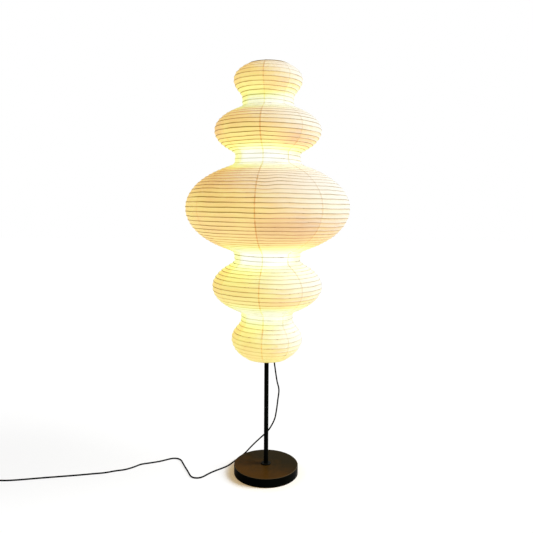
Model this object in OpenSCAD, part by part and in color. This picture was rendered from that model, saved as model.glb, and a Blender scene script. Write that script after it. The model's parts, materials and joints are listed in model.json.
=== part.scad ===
// Floor lamp with a tall five-bulge paper lantern stretched on a steel pole.
// Millimetres, +Z up. The origin is the centre of the foot, on the floor.
// +X is to the right seen from the front, and the front faces -Y.

/* [Base] */
// Outside diameter of the foot
base_d = 256; // [220:1:280]
// Height of the top of the foot above the floor
base_top = 35; // [28:0.5:40]
// Wall of the pressed steel cover
cover_wall = 1.5; // [1:0.1:2.5]
// Rounding of the cover's top edge
cover_round = 2.5; // [1.5:0.1:4]
// Thickness of the felt ring under the foot
pad_t = 2; // [1:0.5:3]
// Thickness of the cast weight away from its middle boss
weight_t = 20; // [14:1:22]

/* [Pole] */
// Outside diameter of the pole
pole_d = 18; // [16:0.5:20]
// Wall of the pole tube
pole_wall = 1.5; // [1:0.1:2]
// Height of the pole's top end
pole_top = 1618; // [1610:1:1622]
// Height of the joint between the lower and middle tubes
low_joint_z = 540; // [530:1:546]
// Height of the joint between the middle and upper tubes
high_joint_z = 1105; // [1080:1:1120]

/* [Lantern] */
// Height of the lantern's top rim
shade_top = 1637; // [1634:0.5:1640]
// Height of the lantern's bottom rim
shade_bottom = 463; // [460:0.5:466]
// Diameter of the two end openings, over the paper
end_d = 160; // [150:1:170]
// Height of the middle of the large bulge
large_z = 1062; // [1057:1:1067]
// Radius of the large bulge
large_r = 328; // [310:1:340]
// Half height of the large bulge
large_h = 188; // [182:1:190]
// Height of the middle of the upper medium bulge
upper_mid_z = 1370; // [1366:1:1374]
// Radius of the upper medium bulge
upper_mid_r = 215; // [205:1:225]
// Half height of the upper medium bulge
upper_mid_h = 106; // [100:1:108]
// Height of the middle of the lower medium bulge
lower_mid_z = 751; // [747:1:755]
// Radius of the lower medium bulge
lower_mid_r = 219; // [208:1:228]
// Half height of the lower medium bulge
lower_mid_h = 114; // [108:1:116]
// Height of the middle of the top bulge
top_bulge_z = 1575; // [1572:1:1578]
// Radius of the top bulge
top_bulge_r = 138; // [130:1:145]
// Half height of the top bulge's lower side
top_bulge_h = 78; // [72:1:80]
// Height of the middle of the bottom bulge
low_bulge_z = 541; // [538:1:544]
// Radius of the bottom bulge
low_bulge_r = 140; // [132:1:146]
// Half height of the bottom bulge's upper side
low_bulge_h = 80; // [74:1:82]
// Radius of the waists beside the large bulge
wide_waist_r = 138; // [132:1:144]
// Radius of the waists beside the end bulges
narrow_waist_r = 104; // [98:1:110]
// Softness of the bend from a bulge into a waist
waist_blend = 14; // [12:0.5:17]
// Thickness of the paper, with its glue
paper_t = 0.3; // [0.3:0.05:0.5]
// Spacing of the ribs along the paper
rib_pitch = 18; // [16:0.5:22]
// Width of the split bamboo ribs
rib_w = 2.2; // [1.6:0.1:2.6]
// Thickness of the split bamboo ribs
rib_t = 1.6; // [1:0.1:2]
// Direction of the first glued seam, in degrees from +X
seam_angle = -8; // [-22:1:22]

/* [Hangers] */
// Diameter of the wire rings in the lantern's two ends
ring_wire_d = 3.2; // [2.5:0.1:4]
// Diameter of the hanger arms
arm_d = 4; // [3:0.5:5]
// Outside diameter of the sliding collar of the lower hanger
collar_d = 30; // [28:1:31]
// Travel of the lower hanger up the pole, as far as the cord grip
hanger_travel = 60; // [50:1:60]

/* [Lampholders] */
// Height of the lowest bulb
bulb_1_z = 625; // [620:1:630]
// Height of the second bulb
bulb_2_z = 864; // [860:1:868]
// Height of the third bulb
bulb_3_z = 1265; // [1260:1:1270]
// Height of the top bulb
bulb_4_z = 1489; // [1485:1:1493]
// Distance of a lampholder's axis from the pole's axis
holder_offset = 36; // [35:0.5:40]
// Outside diameter of a lampholder
holder_d = 34; // [32:1:36]
// Diameter of a bulb's glass
globe_d = 45; // [42:1:48]

/* [Cord] */
// Diameter of the mains cord
cord_d = 6; // [5:0.5:6.5]
// Diameter of the leads inside the lantern
lead_d = 4.4; // [4:0.1:4.6]
// Length of the in-line switch
switch_l = 62; // [58:1:66]
// Width of the in-line switch
switch_w = 26; // [24:1:30]
// Height of the in-line switch
switch_h = 18; // [17:0.5:20]
// Mean radius of the coiled spare cord
coil_r = 33; // [30:1:36]

/* [Hidden] */
$fn = 64;

satin_black = "#26211c";
plated_steel = "#b9bbbd";
brass_colour = "#c9a24e";
paper_colour = "#f8e2a6";
bamboo_colour = "#b08a52";
cord_black = "#161616";
milk_glass = "#fff6dc";

// Foot
base_r = base_d / 2;
pad_r = base_r - 7;
pad_bore_r = 25;
skirt_gap = 1;
weight_gap = 0.3;
weight_boss_r = 30;
recess_r = 18;
recess_top = 16;
stud_r = 5;
stud_low = pad_t + 3;
stud_clear = 0.5;
washer_r = 15;
washer_t = 2;
washer_clear = 0.2;
nut_af = 17;
nut_t = 8;
flange_r = 19;
flange_t = 4;
flange_chamfer = 1.2;

// Pole
pole_r = pole_d / 2;
pole_bore_r = pole_r - pole_wall;
plug_length = 37;
joiner_l = 60;
top_stud_r = 4;
top_stud_l = 16;
slide_clear = 0.05;

// Lantern outline, from the bottom bulge to the top one
bulges = [
  [low_bulge_z, low_bulge_r, low_bulge_h],
  [lower_mid_z, lower_mid_r, lower_mid_h],
  [large_z, large_r, large_h],
  [upper_mid_z, upper_mid_r, upper_mid_h],
  [top_bulge_z, top_bulge_r, top_bulge_h]
];
waists = [
  [(low_bulge_z + lower_mid_z) / 2, narrow_waist_r],
  [(lower_mid_z + large_z) / 2, wide_waist_r],
  [(large_z + upper_mid_z) / 2, wide_waist_r],
  [(upper_mid_z + top_bulge_z) / 2, narrow_waist_r]
];
end_r = end_d / 2;
panel_count = 8;
panel_angle = 360 / panel_count;
rib_sink = 0.05;
ring_gap = 0.3;

function sum(list) = list * [for (v = list) 1];

// Radius of one bulge, an ellipse about the pole's axis, at height z
function bulge_radius(z, bulge) =
  let (inside = 1 - pow((z - bulge[0]) / bulge[2], 2))
  inside > 0 ? bulge[1] * sqrt(inside) : 0;

// The bulges and the waists between them, run together smoothly
function joined_radius(z) =
  let (radii = concat([for (b = bulges) bulge_radius(z, b)], [lookup(z, waists)]))
  let (widest = max(radii))
  widest + waist_blend * ln(sum([for (r = radii) exp((r - widest) / waist_blend)]));

// The two ends close in as quarter ellipses that meet the end rings
function end_radius(z, middle_z, rim_z) =
  let (middle_r = joined_radius(middle_z))
  let (half_h = (rim_z - middle_z) / sqrt(1 - pow(end_r / middle_r, 2)))
  middle_r * sqrt(1 - pow((z - middle_z) / half_h, 2));

function shade_radius(z) =
  z > top_bulge_z ? end_radius(z, top_bulge_z, shade_top)
  : z < low_bulge_z ? end_radius(z, low_bulge_z, shade_bottom)
  : joined_radius(z);

// Length along the paper from the bottom rim, against height
arc_step = 1;
function step_length(z) = norm([shade_radius(z + arc_step) - shade_radius(z), arc_step]);
arc = [
  for (
    z = shade_bottom, s = 0;
    z <= shade_top;
    s = s + (z < shade_top ? step_length(z) : 0), z = z + arc_step
  ) [s, z]
];
paper_length = arc[len(arc) - 1][0];
rib_count = round(paper_length / rib_pitch);

// The points where the spiral rib crosses one meridian, and the outward normals there
function rib_z(i) = lookup(i * paper_length / rib_count, arc);
rib_points = [for (i = [0 : rib_count]) [shade_radius(rib_z(i)), rib_z(i)]];
function unit(v) = v / norm(v);
function outward(i) =
  let (along = rib_points[min(i + 1, rib_count)] - rib_points[max(i - 1, 0)])
  unit([along.y, -along.x]);

// Hangers
hub_r = 15;
hub_t = 3;
hub_clear = 0.1;
nut_r = 9;
top_nut_t = 12;
nut_headroom = 0.5;
knurls = 24;
knurl_r = 0.7;
knurl_out = 0.2;
knurl_start = 2;
arm_count = 4;
arm_angle = -10;
arm_root_r = 12;
arm_past = 1;
peg_d = 3;
peg_l = 5;
peg_clear = 0.2;
collar_low = 471;
collar_high = 491;
collar_bore_past = 20;
screw_angle = 125;
screw_z = 484;
screw_r = 2.5;
screw_head_r = 6;
boss_r = 6;
boss_end = 21;
screw_head_t = 4;
wing_w = 18;
wing_l = 9;
wing_t = 3;
wing_start = 2;
ring_r = end_r - paper_t - ring_wire_d / 2;
top_ring_z = shade_top - ring_wire_d / 2;
bottom_ring_r = ring_r - ring_gap;
bottom_ring_z = shade_bottom + ring_wire_d / 2;

// Lampholders: height of the bulb, side of the pole, and which way the bulb points
lamps = [
  [bulb_1_z, -1, -1],
  [bulb_2_z, 1, 1],
  [bulb_3_z, -1, -1],
  [bulb_4_z, 1, 1]
];
clip_plate_t = 3;
clip_h = 14;
clip_band_t = 2.5;
clip_end_r = 11;
ear_l = 20;
ear_gap = 1;
ear_t = 2.5;
ear_hole_x = 4 - ear_l;
clip_screw_r = 2;
clip_head_r = 3.5;
clip_head_t = 2.5;
clip_screw_l = 12;
nipple_r = 6.5;
nipple_bore_r = 5.2;
nipple_out = 7.5;
nipple_in = 6;
nipple_nut_t = 3;
nipple_nut_af = 17;
holder_h = 44;
holder_wall = 2.4;
holder_floor = 9;
shell_r = 13.6;
shell_t = 0.52;
shell_low = 12;
shell_high = 40;
cap_r = 13;
cap_low = 15;
cap_high = 38;
tip_r = 4.5;
tip_t = 2;
globe_z = 66;
glass_neck_r = 12.6;
glass_neck_z = 44;
neck_spread = 12;

// Leads inside the lantern, hand-set points that keep clear of bulbs and clips
lead_r = lead_d / 2;
lead_routes = [
  [
    [12, 17, 598], [8, 17, 620], [3, 17, 650], [0, 17, 690], [-3, 17, 720],
    [-10, 14, 745], [-26, 5, 758], [-37, 0, 745], [-38.4, 0, 720], [-38.4, 0, 695]
  ],
  [
    [-33.6, 0, 695], [-33.6, 0, 705], [-31, 7, 714], [-22, 18, 724], [0, 26, 734],
    [20, 20, 748], [31, 8, 765], [33.6, 0, 782], [33.6, 0, 794]
  ],
  [
    [38.4, 0, 794], [38.4, 0, 770], [36, 2, 750], [26, 8, 736], [12, 15, 738],
    [4, 17, 760], [2, 16, 790], [1.5, 15, 810], [0, 12.6, 840], [0, 12.6, 900],
    [0, 12.6, 1000], [0, 12.6, 1100], [0, 12.6, 1200], [0, 12.6, 1290], [-2, 16, 1318],
    [-4, 17, 1345], [-10, 14, 1373], [-26, 5, 1387], [-37, 0, 1375],
    [-38.4, 0, 1352], [-38.4, 0, 1335]
  ],
  [
    [-33.6, 0, 1335], [-33.6, 0, 1345], [-31, 7, 1354], [-22, 18, 1363], [0, 26, 1371],
    [20, 20, 1381], [31, 8, 1396], [33.6, 0, 1409], [33.6, 0, 1419]
  ]
];
lead_clip_zs = [900, 1050, 1200];
lead_clip_h = 6;
lead_clip_t = 1.2;
lead_seat = 12.6;
lead_clear = 0.05;

// Mains cord, hand-set points from the grip on the pole, down and over the floor to the coil
cord_r = cord_d / 2;
cord_route = [
  [12, 17, 598], [12, 17, 575], [12, 17, 548], [16, 18, 518], [23, 20, 485],
  [30, 22, 445], [42, 26, 364], [51, 30, 322], [47, 35, 278], [42, 42, 235],
  [34, 52, 192], [12, 66, 145], [-12, 82, 114], [-40, 97, 82], [-64, 107, 54],
  [-86, 106, 31], [-108, 96, 17], [-130, 76, 9], [-153, 48, 4], [-178, 24, 3],
  [-204, 2, 3], [-223, -17, 3], [-237, -34, 3], [-247, -46, 3], [-259, -55, 3],
  [-274, -57, 3], [-288, -52, 3], [-298, -40, 3], [-305, -24, 3], [-316, 2, 3],
  [-332, 38, 3], [-347, 74, 3], [-355, 91, 3], [-367, 104, 3], [-384, 109, 3],
  [-401, 105, 3], [-418, 95, 3], [-444, 80, 3], [-480, 66, 3], [-514, 53, 3],
  [-540, 28, 3], [-568, 8, 3], [-604, -4, 3], [-644, -20, 3], [-692, -30, 3],
  [-750, -42, 3], [-812, -53, 3], [-884, -66, 3], [-956, -80, 3], [-1002, -86, 3],
  [-1034, -85, 3], [-1058, -79, 5], [-1078, -76, 9], [-1108, -76, 9], [-1140, -76, 9],
  [-1179, -76, 4]
];
tail_route = [[-1179, -10, 9.8], [-1172, -10, 9.3], [-1160, -10, 9], [-1146, -10, 9]];
rings_per_span = 2;
tube_sides = 8;
grip_at = [12, 17];
boot_l = 25;
grip_boss_r = 6;
grip_band_t = 3;
grip_web = 8;
boot_low = collar_high + hanger_travel;
boot_tip_r = 3.8;
grip_low = boot_low + boot_l;
grip_high = grip_low + 22;
coil_at = [-1200, -43];
coil_low = 0.8;
coil_w = 2 * cord_d;
coil_chamfer = 2;
tie_w = 10;
tie_t = 0.8;

// In-line switch and plug
switch_at = [-1108, -76];
switch_corner = 9;
switch_wall = 2;
switch_screw_at = [20, 8.5];
switch_post_r = 3;
switch_screw_r = 1.3;
switch_head_r = 2.6;
switch_head_t = 1.6;
cord_axis_z = 9;
rocker_l = 20;
rocker_w = 9.6;
rocker_gap = 0.5;
rocker_tilt = 7;
rocker_pivot_z = switch_h - 2.6;
pivot_r = 1.2;
pivot_out = 2;
pivot_end_gap = 0.2;
rocker_end_h = 3.6;
rocker_dip_h = 2.8;
rocker_under = 2;
rocker_keel = 3;
lug_t = 3;
plug_at = [-1170, -10, 9];
plug_boot_l = 22;
plug_boot_tip_r = 3.8;
plug_boot_root_r = 6;
plug_l = 32;
plug_w = 24;
plug_h = 18;
plug_corner = 6;
pin_l = 17;
pin_w = 6.4;
pin_t = 1.5;
pin_gap = 12.7;
pin_root = 6;

// ---- Shared shapes -------------------------------------------------------

module tube(r, bore_r, low, high) {
  translate([0, 0, low])
    difference() {
      cylinder(r = r, h = high - low);
      translate([0, 0, -1]) cylinder(r = bore_r, h = high - low + 2);
    }
}

module rod(r, low, high) {
  translate([0, 0, low]) cylinder(r = r, h = high - low);
}

// A flat slab with round corners, centred on the Z axis
module rounded_slab(length, width, height, corner) {
  linear_extrude(height)
    union() {
      square([length - 2 * corner, width], center = true);
      square([length, width - 2 * corner], center = true);
      for (x = [-1, 1], y = [-1, 1])
        translate([x * (length / 2 - corner), y * (width / 2 - corner)]) circle(corner);
    }
}

// A straight round bar between two points
module bar(from, to, r) {
  run = to - from;
  translate(from)
    rotate([0, acos(run.z / norm(run)), atan2(run.y, run.x)])
      cylinder(r = r, h = norm(run));
}

// Point on the smooth curve through a route, at span i and share t of it
function route_point(route, i, t) =
  let (last = len(route) - 1)
  let (a = route[max(i - 1, 0)], b = route[i], c = route[min(i + 1, last)], d = route[min(i + 2, last)])
  0.5 * ((2 * b) + (c - a) * t + (2 * a - 5 * b + 4 * c - d) * t * t + (3 * b - a - 3 * c + d) * t * t * t);

function curve(route, steps) =
  concat(
    [for (i = [0 : len(route) - 2], k = [0 : steps - 1]) route_point(route, i, k / steps)],
    [route[len(route) - 1]]
  );

function tangent(line, i) = unit(line[min(i + 1, len(line) - 1)] - line[max(i - 1, 0)]);
function side_of(v, along) = unit(v - (v * along) * along);

// A round tube swept along a line, carrying one side vector from ring to ring
module sweep(line, r) {
  count = len(line);
  sides = [
    for (i = 0, u = side_of([0, 1, 0.1], tangent(line, 0)); i < count; i = i + 1,
      u = side_of(u, tangent(line, min(i, count - 1)))) u
  ];
  points = [
    for (i = [0 : count - 1])
      let (along = tangent(line, i), u = side_of(sides[i], along), v = cross(along, u))
      for (k = [0 : tube_sides - 1])
        let (turn = 360 * k / tube_sides)
        line[i] + r * (cos(turn) * u + sin(turn) * v)
  ];
  function corner(i, k) = i * tube_sides + k % tube_sides;
  walls = [
    for (i = [0 : count - 2], k = [0 : tube_sides - 1])
      each [
        [corner(i, k), corner(i, k + 1), corner(i + 1, k + 1)],
        [corner(i, k), corner(i + 1, k + 1), corner(i + 1, k)]
      ]
  ];
  ends = [
    [for (k = [tube_sides - 1 : -1 : 0]) k],
    [for (k = [0 : tube_sides - 1]) (count - 1) * tube_sides + k]
  ];
  polyhedron(points = points, faces = concat(ends, walls), convexity = 10);
}

// Carries one lampholder's pieces to their place on the pole
module at_lamp(i) {
  lamp = lamps[i];
  translate([0, 0, lamp[0] - lamp[2] * (globe_z + clip_plate_t / 2)])
    rotate([0, 0, lamp[1] > 0 ? 0 : 180])
      mirror([0, 0, lamp[2] > 0 ? 0 : 1])
        children();
}

module at_holder(i) {
  at_lamp(i) translate([holder_offset, 0, clip_plate_t / 2]) children();
}

// ---- Foot ----------------------------------------------------------------

module base_pad() {
  color("#3a3632") tube(pad_r, pad_bore_r, 0, pad_t);
}

module base_weight() {
  inner_top = base_top - cover_wall;
  color("#4a4a4c")
    difference() {
      union() {
        rod(base_r - cover_wall - weight_gap, pad_t, pad_t + weight_t);
        rod(weight_boss_r, pad_t, inner_top);
      }
      rod(stud_r + stud_clear, 0, base_top);
      rod(recess_r, 0, recess_top);
    }
}

module base_cover() {
  arc_steps = 6;
  outer = base_r - cover_round;
  color(satin_black)
    rotate_extrude($fn = 96)
      polygon(concat(
        [[stud_r + stud_clear, base_top]],
        [
          for (k = [arc_steps : -1 : 0])
            let (a = 90 * k / arc_steps)
            [outer + cover_round * cos(a), base_top - cover_round + cover_round * sin(a)]
        ],
        [
          [base_r, skirt_gap],
          [base_r - cover_wall, skirt_gap],
          [base_r - cover_wall, base_top - cover_round],
          [outer, base_top - cover_wall],
          [stud_r + stud_clear, base_top - cover_wall]
        ]
      ));
}

module base_washer() {
  color(plated_steel) tube(washer_r, stud_r + washer_clear, recess_top - washer_t, recess_top);
}

module base_nut() {
  low = recess_top - washer_t - nut_t;
  color(plated_steel)
    translate([0, 0, low])
      difference() {
        cylinder(d = nut_af / cos(30), h = nut_t, $fn = 6);
        translate([0, 0, -1]) cylinder(r = stud_r, h = nut_t + 2);
      }
}

module foot_flange() {
  color(satin_black)
    rotate_extrude()
      polygon([
        [pole_r, base_top], [flange_r, base_top], [flange_r, base_top + flange_t - flange_chamfer],
        [flange_r - flange_chamfer, base_top + flange_t], [pole_r, base_top + flange_t]
      ]);
}

// ---- Pole ----------------------------------------------------------------

module pole_plug() {
  color(plated_steel) {
    rod(stud_r, stud_low, base_top);
    rod(pole_bore_r, base_top, base_top + plug_length);
  }
}

module pole_lower() {
  color(satin_black) tube(pole_r, pole_bore_r, base_top, low_joint_z);
}

module pole_middle() {
  color(satin_black) tube(pole_r, pole_bore_r, low_joint_z, high_joint_z);
}

module pole_upper() {
  color(satin_black) tube(pole_r, pole_bore_r, high_joint_z, pole_top);
}

module pole_joiners() {
  color(plated_steel)
    for (z = [low_joint_z, high_joint_z])
      rod(pole_bore_r, z - joiner_l / 2, z + joiner_l / 2);
}

module top_plug() {
  color(plated_steel) {
    rod(pole_bore_r, pole_top - plug_length, pole_top);
    rod(top_stud_r, pole_top, pole_top + top_stud_l);
  }
}

// ---- Hangers -------------------------------------------------------------

module top_hanger() {
  arm_end_z = top_ring_z - (ring_wire_d + arm_d) / 2;
  color(plated_steel) {
    tube(hub_r, top_stud_r + hub_clear, pole_top, pole_top + hub_t);
    for (k = [0 : arm_count - 1])
      rotate([0, 0, arm_angle + k * 360 / arm_count]) {
        bar([arm_root_r, 0, pole_top + hub_t / 2], [ring_r + arm_past, 0, arm_end_z], arm_d / 2);
        translate([ring_r - (ring_wire_d + peg_d) / 2 - peg_clear, 0, arm_end_z])
          cylinder(d = peg_d, h = peg_l);
      }
  }
}

module top_nut() {
  low = pole_top + hub_t;
  color(brass_colour)
    difference() {
      rod(nut_r, low, low + top_nut_t);
      rod(top_stud_r + slide_clear, low - 1, pole_top + top_stud_l + nut_headroom);
      for (k = [0 : knurls - 1])
        rotate([0, 0, k * 360 / knurls])
          translate([nut_r + knurl_out, 0, low + knurl_start])
            cylinder(r = knurl_r, h = top_nut_t, $fn = 16);
    }
}

module wire_ring(r, z) {
  color(plated_steel)
    translate([0, 0, z])
      rotate_extrude($fn = 96)
        translate([r, 0]) circle(d = ring_wire_d, $fn = 24);
}

module top_ring() {
  wire_ring(ring_r, top_ring_z);
}

module bottom_ring() {
  wire_ring(bottom_ring_r, bottom_ring_z);
}

module bottom_hanger() {
  arm_end_z = bottom_ring_z + (ring_wire_d + arm_d) / 2;
  arm_root_z = (collar_low + collar_high) / 2 - 2;
  color(plated_steel)
    difference() {
      union() {
        rod(collar_d / 2, collar_low, collar_high);
        rotate([0, 0, screw_angle])
          translate([0, 0, screw_z])
            rotate([0, 90, 0]) cylinder(r = boss_r, h = boss_end);
        for (k = [0 : arm_count - 1])
          rotate([0, 0, arm_angle + k * 360 / arm_count]) {
            bar([arm_root_r, 0, arm_root_z], [bottom_ring_r + arm_past, 0, arm_end_z], arm_d / 2);
            translate([bottom_ring_r - (ring_wire_d + peg_d) / 2 - peg_clear, 0, arm_end_z - peg_l])
              cylinder(d = peg_d, h = peg_l);
          }
      }
      rod(pole_r + slide_clear, collar_low - collar_bore_past, collar_high + collar_bore_past);
      rotate([0, 0, screw_angle])
        translate([0, 0, screw_z])
          rotate([0, 90, 0]) cylinder(r = screw_r + slide_clear, h = boss_end + 1);
    }
}

module thumb_screw() {
  head_start = boss_end + 1;
  color(brass_colour)
    rotate([0, 0, screw_angle])
      translate([0, 0, screw_z])
        rotate([0, 90, 0]) {
          rod(screw_r, pole_r + slide_clear, head_start);
          rod(screw_head_r, head_start, head_start + screw_head_t);
          translate([-wing_t / 2, -wing_w / 2, head_start + wing_start]) cube([wing_t, wing_w, wing_l]);
        }
}

// ---- Lantern -------------------------------------------------------------

module paper_panel(k) {
  inner = [for (i = [rib_count : -1 : 0]) rib_points[i] - paper_t * outward(i)];
  color(paper_colour)
    rotate([0, 0, seam_angle + (k - 1) * panel_angle])
      rotate_extrude(angle = panel_angle, $fn = 96)
        polygon(concat(rib_points, inner));
}

module bamboo_ribs() {
  color(bamboo_colour)
    for (i = [1 : rib_count - 1]) {
      out = outward(i);
      across = [-out.y, out.x] * rib_w / 2;
      front = rib_points[i] - (paper_t - rib_sink) * out;
      back = front - rib_t * out;
      rotate_extrude($fn = 96)
        polygon([front - across, front + across, back + across, back - across]);
    }
}

// ---- Lampholders ---------------------------------------------------------

module holder_clip(i) {
  color(plated_steel)
    at_lamp(i)
      difference() {
        union() {
          rod(pole_r + clip_band_t, -clip_h / 2, clip_h / 2);
          translate([0, 0, -clip_plate_t / 2])
            linear_extrude(clip_plate_t)
              union() {
                translate([0, -clip_end_r]) square([holder_offset, 2 * clip_end_r]);
                translate([holder_offset, 0]) circle(clip_end_r);
              }
          translate([-ear_l, -ear_gap - ear_t, -clip_h / 2])
            cube([ear_l, 2 * (ear_gap + ear_t), clip_h]);
        }
        rod(pole_r, -clip_h, clip_h);
        translate([-ear_l - 1, -ear_gap, -clip_h]) cube([ear_l, 2 * ear_gap, 2 * clip_h]);
        translate([holder_offset, 0, 0]) rod(nipple_r, -clip_h, clip_h);
        translate([ear_hole_x, 0, 0])
          rotate([90, 0, 0]) cylinder(r = clip_screw_r, h = 2 * ear_l, center = true);
      }
}

module clip_screws() {
  reach = ear_gap + ear_t;
  color(plated_steel)
    for (i = [0 : len(lamps) - 1])
      at_lamp(i)
        translate([ear_hole_x, -reach, 0])
          rotate([-90, 0, 0]) {
            rod(clip_screw_r, 0, clip_screw_l);
            rod(clip_head_r, -clip_head_t, 0);
          }
}

module lampholder(i) {
  color(cord_black)
    at_holder(i)
      rotate_extrude()
        polygon([
          [nipple_r, 0], [holder_d / 2 - 3, 0], [holder_d / 2, 4], [holder_d / 2, holder_h - 1],
          [holder_d / 2 - 1, holder_h], [holder_d / 2 - holder_wall, holder_h],
          [holder_d / 2 - holder_wall, holder_floor], [nipple_r, holder_floor]
        ]);
}

module holder_nipples() {
  color(brass_colour)
    for (i = [0 : len(lamps) - 1])
      at_holder(i) tube(nipple_r, nipple_bore_r, -nipple_out, nipple_in);
}

module nipple_nuts() {
  color(plated_steel)
    for (i = [0 : len(lamps) - 1])
      at_holder(i)
        translate([0, 0, -clip_plate_t - nipple_nut_t])
          difference() {
            cylinder(d = nipple_nut_af / cos(30), h = nipple_nut_t, $fn = 6);
            translate([0, 0, -1]) cylinder(r = nipple_r, h = nipple_nut_t + 2);
          }
}

module socket_shells() {
  color(brass_colour)
    for (i = [0 : len(lamps) - 1])
      at_holder(i)
        difference() {
          union() {
            rod(shell_r, shell_low, shell_high);
            rod(shell_r + 1, holder_floor, shell_low + 1);
          }
          rod(shell_r - shell_t, shell_low + 1, shell_high + 1);
        }
}

module bulb_cap(i) {
  color(plated_steel)
    at_holder(i) {
      rod(tip_r, cap_low - tip_t, cap_low);
      rod(cap_r, cap_low, cap_high);
    }
}

module bulb_glass(i) {
  globe_r = globe_d / 2;
  blend_steps = 6;
  join_a = asin(glass_neck_r / globe_r) + neck_spread;
  start = [globe_r * sin(join_a), globe_z - globe_r * cos(join_a)];
  arc_steps = 14;
  color(milk_glass)
    at_holder(i)
      rotate_extrude()
        polygon(concat(
          [[0, cap_high], [cap_r, cap_high], [glass_neck_r, glass_neck_z - 3]],
          [
            for (k = [1 : blend_steps - 1])
              let (t = k / blend_steps, ease = t * t * (3 - 2 * t))
              [
                glass_neck_r + (start.x - glass_neck_r) * ease,
                glass_neck_z - 3 + (start.y - glass_neck_z + 3) * t
              ]
          ],
          [
            for (k = [0 : arc_steps])
              let (a = join_a + (180 - join_a) * k / arc_steps)
              [globe_r * sin(a), globe_z - globe_r * cos(a)]
          ]
        ));
}

module inner_leads() {
  color(cord_black)
    for (route = lead_routes) sweep(curve(route, rings_per_span), lead_r);
}

module lead_clips() {
  color(cord_black)
    for (z = lead_clip_zs)
      difference() {
        union() {
          rod(pole_r + lead_clip_t, z, z + lead_clip_h);
          translate([0, lead_seat, 0]) rod(lead_r + lead_clip_t, z, z + lead_clip_h);
        }
        rod(pole_r, z - 1, z + lead_clip_h + 1);
        translate([0, lead_seat, 0]) rod(lead_r + lead_clear, z - 1, z + lead_clip_h + 1);
      }
}

// ---- Mains cord, switch and plug -----------------------------------------

module cord_grip() {
  color(cord_black)
    difference() {
      union() {
        translate([0, 0, grip_low])
          linear_extrude(grip_high - grip_low)
            union() {
              circle(pole_r + grip_band_t);
              translate(grip_at) circle(grip_boss_r);
              rotate(atan2(grip_at.y, grip_at.x))
                translate([0, -grip_web / 2]) square([norm(grip_at), grip_web]);
            }
        translate(grip_at)
          rotate_extrude()
            polygon([
              [0, boot_low], [boot_tip_r, boot_low], [grip_boss_r - 1, grip_low],
              [grip_boss_r - 1, grip_low + 1], [0, grip_low + 1]
            ]);
      }
      rod(pole_r, grip_low - 1, grip_high + 1);
      translate(grip_at) rod(cord_r, boot_low - 1, grip_high + 1);
    }
}

function on_floor(line) = [for (p = line) [p.x, p.y, max(p.z, cord_r)]];

module cord() {
  color(cord_black) {
    sweep(on_floor(curve(cord_route, rings_per_span)), cord_r);
    sweep(curve(tail_route, 1), cord_r);
  }
}

module coil_shape() {
  inner = coil_r - coil_w / 2;
  outer = coil_r + coil_w / 2;
  high = coil_low + coil_w;
  rotate_extrude($fn = 96)
    polygon([
      [inner + coil_chamfer, coil_low], [outer - coil_chamfer, coil_low],
      [outer, coil_low + coil_chamfer], [outer, high - coil_chamfer],
      [outer - coil_chamfer, high], [inner + coil_chamfer, high],
      [inner, high - coil_chamfer], [inner, coil_low + coil_chamfer]
    ]);
}

module cord_coil() {
  color(cord_black) translate(coil_at) coil_shape();
}

module coil_tie() {
  outer = coil_r + coil_w / 2 + tie_t;
  inner = coil_r - coil_w / 2 - 2 * tie_t;
  color("#2b2b2b")
    translate(coil_at)
      difference() {
        translate([-outer, -tie_w / 2, 0]) cube([outer - inner, tie_w, coil_low + coil_w + tie_t]);
        coil_shape();
      }
}

module at_switch() {
  translate(switch_at) children();
}

module switch_holes(r, low, high) {
  for (s = [-1, 1]) translate([s * switch_screw_at.x, s * switch_screw_at.y, 0]) rod(r, low, high);
}

module cord_tunnel() {
  translate([-switch_l, 0, cord_axis_z])
    rotate([0, 90, 0]) cylinder(r = cord_r, h = 2 * switch_l);
}

module switch_bottom() {
  color(cord_black)
    at_switch()
      difference() {
        union() {
          difference() {
            rounded_slab(switch_l, switch_w, cord_axis_z, switch_corner);
            translate([0, 0, switch_wall])
              rounded_slab(
                switch_l - 6 * switch_wall, switch_w - 2 * switch_wall,
                cord_axis_z, switch_corner - switch_wall
              );
          }
          switch_holes(switch_post_r, 0, cord_axis_z);
        }
        cord_tunnel();
        switch_holes(switch_screw_r, -1, cord_axis_z + 1);
        switch_holes(switch_head_r, -1, switch_head_t);
      }
}

module switch_top() {
  slot_l = rocker_l + 2 * rocker_gap;
  slot_w = rocker_w + 2 * rocker_gap;
  top_h = switch_h - cord_axis_z;
  color(cord_black)
    at_switch()
      difference() {
        union() {
          translate([0, 0, cord_axis_z])
            difference() {
              rounded_slab(switch_l, switch_w, top_h, switch_corner);
              translate([0, 0, -switch_wall])
                rounded_slab(
                  switch_l - 6 * switch_wall, switch_w - 2 * switch_wall,
                  top_h, switch_corner - switch_wall
                );
            }
          translate([0, 0, cord_axis_z]) {
            switch_holes(switch_post_r, 0, top_h - 1);
            for (s = [-1, 1])
              translate([-lug_t, s > 0 ? slot_w / 2 : -slot_w / 2 - lug_t, top_h - 6])
                cube([2 * lug_t, lug_t, 5]);
          }
        }
        translate([-slot_l / 2, -slot_w / 2, cord_axis_z]) cube([slot_l, slot_w, switch_h]);
        translate([0, 0, rocker_pivot_z])
          rotate([90, 0, 0])
            cylinder(r = pivot_r + slide_clear, h = slot_w + 2 * (pivot_out + pivot_end_gap), center = true);
        cord_tunnel();
        switch_holes(switch_screw_r, cord_axis_z - 1, switch_h - 3);
      }
}

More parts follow.
